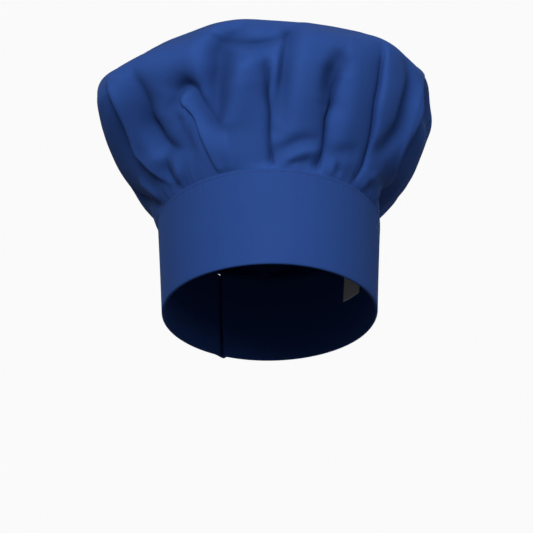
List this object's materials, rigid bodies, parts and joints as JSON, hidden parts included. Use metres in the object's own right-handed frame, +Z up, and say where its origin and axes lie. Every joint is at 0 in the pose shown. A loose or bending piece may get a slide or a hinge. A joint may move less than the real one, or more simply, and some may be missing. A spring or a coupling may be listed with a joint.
{
  "type": "chef toque",
  "caption": "Floppy chef's hat with a stiffened headband, a wide crown gathered into soft pleats and a hook-and-loop closure tab at the back.",
  "frame": {"origin": "centre of the headband's bottom rim, on the plane the hat stands on", "axes": "+Z up through the crown, -Y the front of the hat, +Y the back with the closure, +X the viewer's right when facing the front"},
  "size_m": [0.2632, 0.2832, 0.215],
  "materials": {
    "twill": "blue poly-cotton twill, soft satin sheen",
    "lining": "blue twill, inner ply",
    "stiffener": "non-woven sew-in stiffener",
    "hook_tape": "woven nylon hook tape",
    "loop_tape": "brushed nylon loop tape",
    "thread": "polyester sewing thread",
    "label": "woven satin label, blank"
  },
  "bodies": {
    "hat": {"band_outer": "twill", "band_stiffener": "stiffener", "band_lining": "lining", "crown_panel": "twill", "crown_vent_binding": "twill", "hook_strip_lower": "hook_tape", "hook_strip_upper": "hook_tape", "top_stitching": "thread", "vent_stitching": "thread", "care_label": "label"},
    "closure_tab": {"tab_outer": "twill", "tab_stiffener": "stiffener", "tab_lining": "lining", "loop_strip_lower": "loop_tape", "loop_strip_upper": "loop_tape", "tab_stitching": "thread"}
  },
  "joints": [
    {"name": "tab_peel", "type": "hinge", "parent": "hat", "child": "closure_tab", "pos_m": [-0.033, 0.09793, 0.0375], "axis": [0, 0.0682, 0.9977], "range_deg": [0, 110]}
  ]
}
